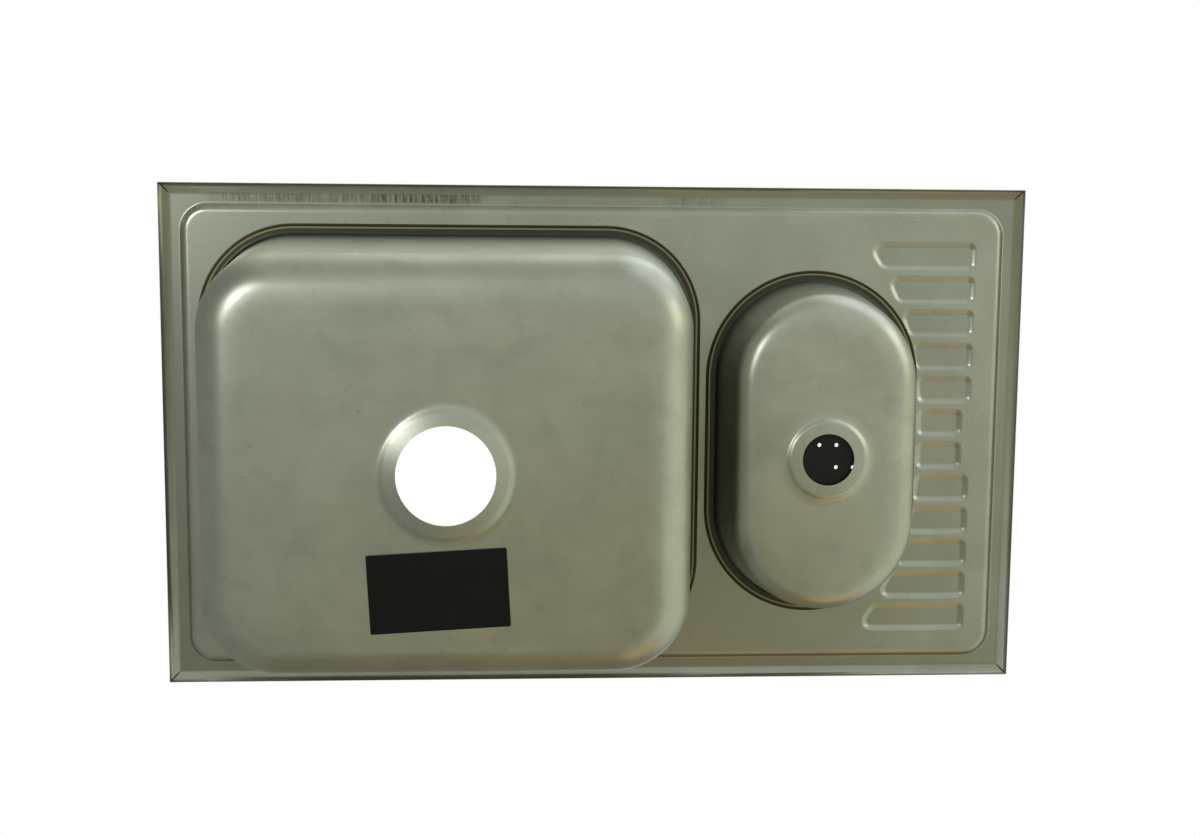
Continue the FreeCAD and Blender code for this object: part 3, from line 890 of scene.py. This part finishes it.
# a piece of the stage, which some kinds of rays don't see
def stagePiece(name, bm, material, unseenBy):
    mesh = bpy.data.meshes.new(name)
    bm.to_mesh(mesh)
    bm.free()
    mesh.materials.append(material)
    item = bpy.data.objects.new(name, mesh)
    bpy.context.scene.collection.objects.link(item)
    for rays in unseenBy:
        setattr(item, "visible_" + rays, False)
    return item


# Pale floor under the bowls, seen from above only; sizes in metres
floorStage = {"size": 120.0, "gap": 0.0005, "colour": "#E9E9E6"}


def buildFloor():
    bm = bmesh.new()
    bmesh.ops.create_grid(bm, x_segments=1, y_segments=1, size=floorStage["size"] / 2)
    bmesh.ops.translate(bm, vec=upward * (cadBox[0][2] - floorStage["gap"]), verts=bm.verts)
    material, tree = newMaterial("paleFloor")
    facing = addNode(tree, "ShaderNodeNewGeometry")
    pale = addNode(tree, "ShaderNodeBsdfDiffuse", inputs={"Color": linearColour(floorStage["colour"])})
    clear = addNode(tree, "ShaderNodeBsdfTransparent")
    oneSided = addNode(tree, "ShaderNodeMixShader", inputs={
        0: facing.outputs["Backfacing"], 1: pale.outputs["BSDF"], 2: clear.outputs["BSDF"],
    })
    addNode(tree, "ShaderNodeOutputMaterial", inputs={"Surface": oneSided.outputs["Shader"]})
    floor = stagePiece("paleFloor", bm, material, ("shadow", "diffuse", "glossy", "transmission"))


buildFloor()

# White all round: full strength where it is seen, dimmer as a light on dull surfaces
whiteStudio = {"colour": "#FFFFFF", "asSeen": 1.0, "asLight": 0.7}


def buildWorld():
    world = bpy.data.worlds.new("whiteStudio")
    world.use_nodes = True
    tree = world.node_tree
    tree.nodes.clear()
    path = addNode(tree, "ShaderNodeLightPath")
    seen = addNode(tree, "ShaderNodeMath", {"operation": "ADD"}, {
        0: path.outputs["Is Camera Ray"], 1: path.outputs["Is Glossy Ray"],
    })
    seen = addNode(tree, "ShaderNodeMath", {"operation": "ADD", "use_clamp": True}, {
        0: seen.outputs[0], 1: path.outputs["Is Transmission Ray"],
    })
    strength = addNode(tree, "ShaderNodeMapRange", inputs={
        "Value": seen.outputs[0], "To Min": whiteStudio["asLight"], "To Max": whiteStudio["asSeen"],
    })
    sky = addNode(tree, "ShaderNodeBackground", inputs={
        "Color": linearColour(whiteStudio["colour"]), "Strength": strength.outputs["Result"],
    })
    addNode(tree, "ShaderNodeOutputWorld", inputs={"Surface": sky.outputs["Background"]})
    bpy.context.scene.world = world


buildWorld()
print("floor laid and studio lit white")

# Soft lamps round the sink, in metres; radiance is against a white of 1
studioLamps = {
    "keyLowLeft": {
        "place": (-1.18, -0.65, -1.75), "size": (0.5, 0.5), "radiance": 11.0, "colour": "#FAFFF4",
    },
    "windowRight": {
        "place": (1.9, -0.65, -0.86), "size": (0.9, 1.2), "radiance": 1.1, "colour": "#FBFDE8",
    },
    "softOver": {
        "place": (0.5, 0.9, 2.1), "size": (1.3, 1.3), "radiance": 1.2, "colour": "#FFFFFF",
    },
}


def hangLamp(name, lamp):
    data = bpy.data.lights.new(name, "AREA")
    data.shape = "RECTANGLE"
    data.size, data.size_y = lamp["size"]
    data.energy = lamp["radiance"] * math.pi * data.size * data.size_y
    data.color = linearColour(lamp["colour"])[:3]
    item = bpy.data.objects.new(name, data)
    item.location = lamp["place"]
    item.rotation_euler = (-Vector(lamp["place"])).to_track_quat("-Z", "Y").to_euler()
    item.visible_camera = False
    bpy.context.scene.collection.objects.link(item)


for name, lamp in studioLamps.items():
    hangLamp(name, lamp)

# Glowing tent round the sink, seen in reflections alone: its emission paints reflections and highlights on
# the metal.
# From the camera it is dim at the left, warm and dim beyond the lower edge, and bright to the upper right.
# Radius in metres.
glowingTent = {
    "radius": 2.6, "rings": 16, "sectors": 24, "grey": "#D5DDCF",
    "tones": [
        {"towards": (0.0, 0.3, 1.0), "spread": (0.3, 0.85), "colour": "#AAAAAA", "gain": 1.0},
        {"towards": (-1.0, 0.1, -0.1), "spread": (0.12, 0.48), "colour": "#989D90", "gain": 1.0},
        {"towards": (0.95, 0.1, -0.35), "spread": (0.62, 0.94), "colour": "#E8EBCE", "gain": 1.0},
        {"towards": (0.1, -0.93, 0.4), "spread": (0.6, 0.96), "colour": "#E2ECD9", "gain": 1.0},
        {"towards": (0.0, -0.74, 0.67), "spread": (0.84, 0.97), "colour": "#E4F0DA", "gain": 1.4},
        {"towards": (-0.06, -0.95, -0.3), "spread": (0.87, 0.97), "colour": "#BFC6B4", "gain": 1.0},
        {"towards": (0.45, -0.68, 0.58), "spread": (0.89, 0.97), "colour": "#F2FBFC", "gain": 2.2},
        {"towards": (0.65, -0.73, -0.08), "spread": (0.85, 0.95), "colour": "#F2FBF8", "gain": 1.5},
        {"towards": (0.04, 0.96, 0.26), "spread": (0.80, 0.94), "colour": "#8B8776", "gain": 1.0},
        {"towards": (0.1, 0.34, -0.935), "spread": (0.915, 0.99), "colour": "#9F9770", "gain": 1.0},
        {"towards": (0.1, 0.93, -0.34), "spread": (0.80, 0.95), "colour": "#8F876B", "gain": 1.0},
        {"towards": (0.36, 0.83, -0.42), "spread": (0.95, 0.982), "colour": "#DCC288", "gain": 1.1},
    ],
}


def pitchTent():
    bm = bmesh.new()
    bmesh.ops.create_uvsphere(
        bm, u_segments=glowingTent["sectors"], v_segments=glowingTent["rings"], radius=glowingTent["radius"]
    )
    material, tree = newMaterial("glowingTent")
    place = addNode(tree, "ShaderNodeTexCoord").outputs["Object"]
    ray = addNode(tree, "ShaderNodeVectorMath", {"operation": "NORMALIZE"}, {0: place}).outputs["Vector"]
    colour = linearColour(glowingTent["grey"])
    for tone in glowingTent["tones"]:
        near = addNode(tree, "ShaderNodeVectorMath", {"operation": "DOT_PRODUCT"}, {
            0: ray, 1: Vector(tone["towards"]).normalized(),
        })
        share = addNode(tree, "ShaderNodeMapRange", {"interpolation_type": "SMOOTHSTEP"}, {
            "Value": near.outputs["Value"], "From Min": tone["spread"][0], "From Max": tone["spread"][1],
        })
        glare = [level * tone["gain"] for level in linearColour(tone["colour"])]
        colour = addNode(tree, "ShaderNodeMix", {"data_type": "RGBA"}, {
            mixShare: share.outputs["Result"], mixUnder: colour, mixOver: glare,
        }).outputs[mixResult]
    glow = addNode(tree, "ShaderNodeEmission", inputs={"Color": colour})
    addNode(tree, "ShaderNodeOutputMaterial", inputs={"Surface": glow.outputs["Emission"]})
    tent = stagePiece("glowingTent", bm, material, ("camera", "diffuse", "transmission", "shadow"))


pitchTent()
print("lamps hung and tent pitched")

bpy.context.scene.view_settings.view_transform = "Standard"
